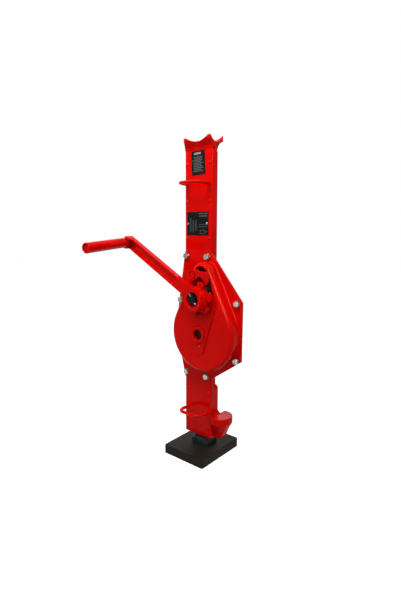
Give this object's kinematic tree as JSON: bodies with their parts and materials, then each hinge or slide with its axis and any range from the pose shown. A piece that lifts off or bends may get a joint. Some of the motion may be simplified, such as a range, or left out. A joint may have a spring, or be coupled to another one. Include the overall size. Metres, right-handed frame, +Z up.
{
  "type": "rack and pinion lifting jack",
  "caption": "Steel rack jack: a sheet-steel housing with side claw and horned head climbs a fixed toothed rack, driven by a folding hand crank.",
  "frame": {"origin": "middle of the foot's underside, on the ground", "axes": "+X towards the lifting claw, -Y towards the crank, +Z up along the rack"},
  "size_m": [0.3092, 0.2943, 0.7569],
  "materials": {
    "red_paint": "glossy red enamel",
    "black_foot": "satin black paint",
    "grey_shoe": "dark forged steel",
    "oiled_steel": "oiled dark steel",
    "zinc_plate": "bright zinc plate",
    "bearing_bronze": "oiled bronze",
    "black_oxide": "black oxide",
    "friction_lining": "brake lining",
    "label_print": "black printed foil"
  },
  "bodies": {
    "stand": {"foot_plate": "black_foot", "rack_shoe": "grey_shoe", "rack": "oiled_steel"},
    "housing": {"front_channel": "red_paint", "rear_channel": "red_paint", "slide_pads": "bearing_bronze", "channel_rivets": "red_paint", "left_wing_plate": "red_paint", "right_wing_plate": "red_paint", "rear_gear_box": "red_paint", "inner_bearing_plate": "oiled_steel", "gear_cover": "red_paint", "cover_bearing_plate": "red_paint", "gear_shaft_bush": "red_paint", "crank_shaft_bush": "bearing_bronze", "rear_bush": "bearing_bronze", "inner_bush": "bearing_bronze", "bearing_plate_rivets": "red_paint", "cover_bolts": "zinc_plate", "cover_washers": "zinc_plate", "cover_nuts": "zinc_plate", "lift_claw": "red_paint", "head_crown": "red_paint", "upper_bail": "red_paint", "lower_bail": "red_paint", "upper_label": "label_print", "lower_label": "label_print", "label_rivets": "zinc_plate", "pawl_pin": "red_paint", "pawl_spacer": "red_paint"},
    "gear_train": {"pinion_shaft": "oiled_steel", "main_gear": "oiled_steel", "gear_key": "oiled_steel", "shaft_circlip": "black_oxide"},
    "crank": {"crank_shaft": "oiled_steel", "brake_flange": "oiled_steel", "friction_discs": "friction_lining", "ratchet_wheel": "red_paint", "crank_arm": "red_paint", "castle_nut": "black_oxide", "cotter_pin": "zinc_plate", "fold_pin": "red_paint"},
    "pawl": {"pawl": "red_paint"},
    "grip_stem": {"grip_stem": "red_paint", "grip_end_cap": "red_paint"},
    "grip_sleeve": {"grip_sleeve": "red_paint"}
  },
  "joints": [
    {"name": "housing_lift", "type": "slide", "parent": "stand", "child": "housing", "axis": [0, 0, 1], "range_m": [-0.00524, 0.34558]},
    {"name": "gear_turn", "type": "hinge", "parent": "housing", "child": "gear_train", "pos_m": [0.0305, 0, 0.3113], "axis": [0, 1, 0], "range_deg": [-1321, 21]},
    {"name": "crank_turn", "type": "hinge", "parent": "housing", "child": "crank", "pos_m": [0.0355, -0.07, 0.39515], "axis": [0, 1, 0], "range_deg": [-121, 7921]},
    {"name": "pawl_swing", "type": "hinge", "parent": "housing", "child": "pawl", "pos_m": [0.022, -0.06, 0.4475], "axis": [0, 1, 0], "range_deg": [-25, 7]},
    {"name": "grip_fold", "type": "hinge", "parent": "crank", "child": "grip_stem", "pos_m": [-0.16876, -0.0884, 0.51747], "axis": [0.4901, 0, 0.8716], "range_deg": [-9.9, 80.1]},
    {"name": "grip_spin", "type": "hinge", "parent": "grip_stem", "child": "grip_sleeve", "pos_m": [-0.16876, -0.0884, 0.51747], "axis": [0.1499, -0.9851, -0.0843], "continuous": true}
  ],
  "couplings": [
    {"joint": "gear_turn", "follows": "housing_lift", "rad_per_m": -66.667},
    {"joint": "crank_turn", "follows": "housing_lift", "rad_per_m": 400}
  ]
}
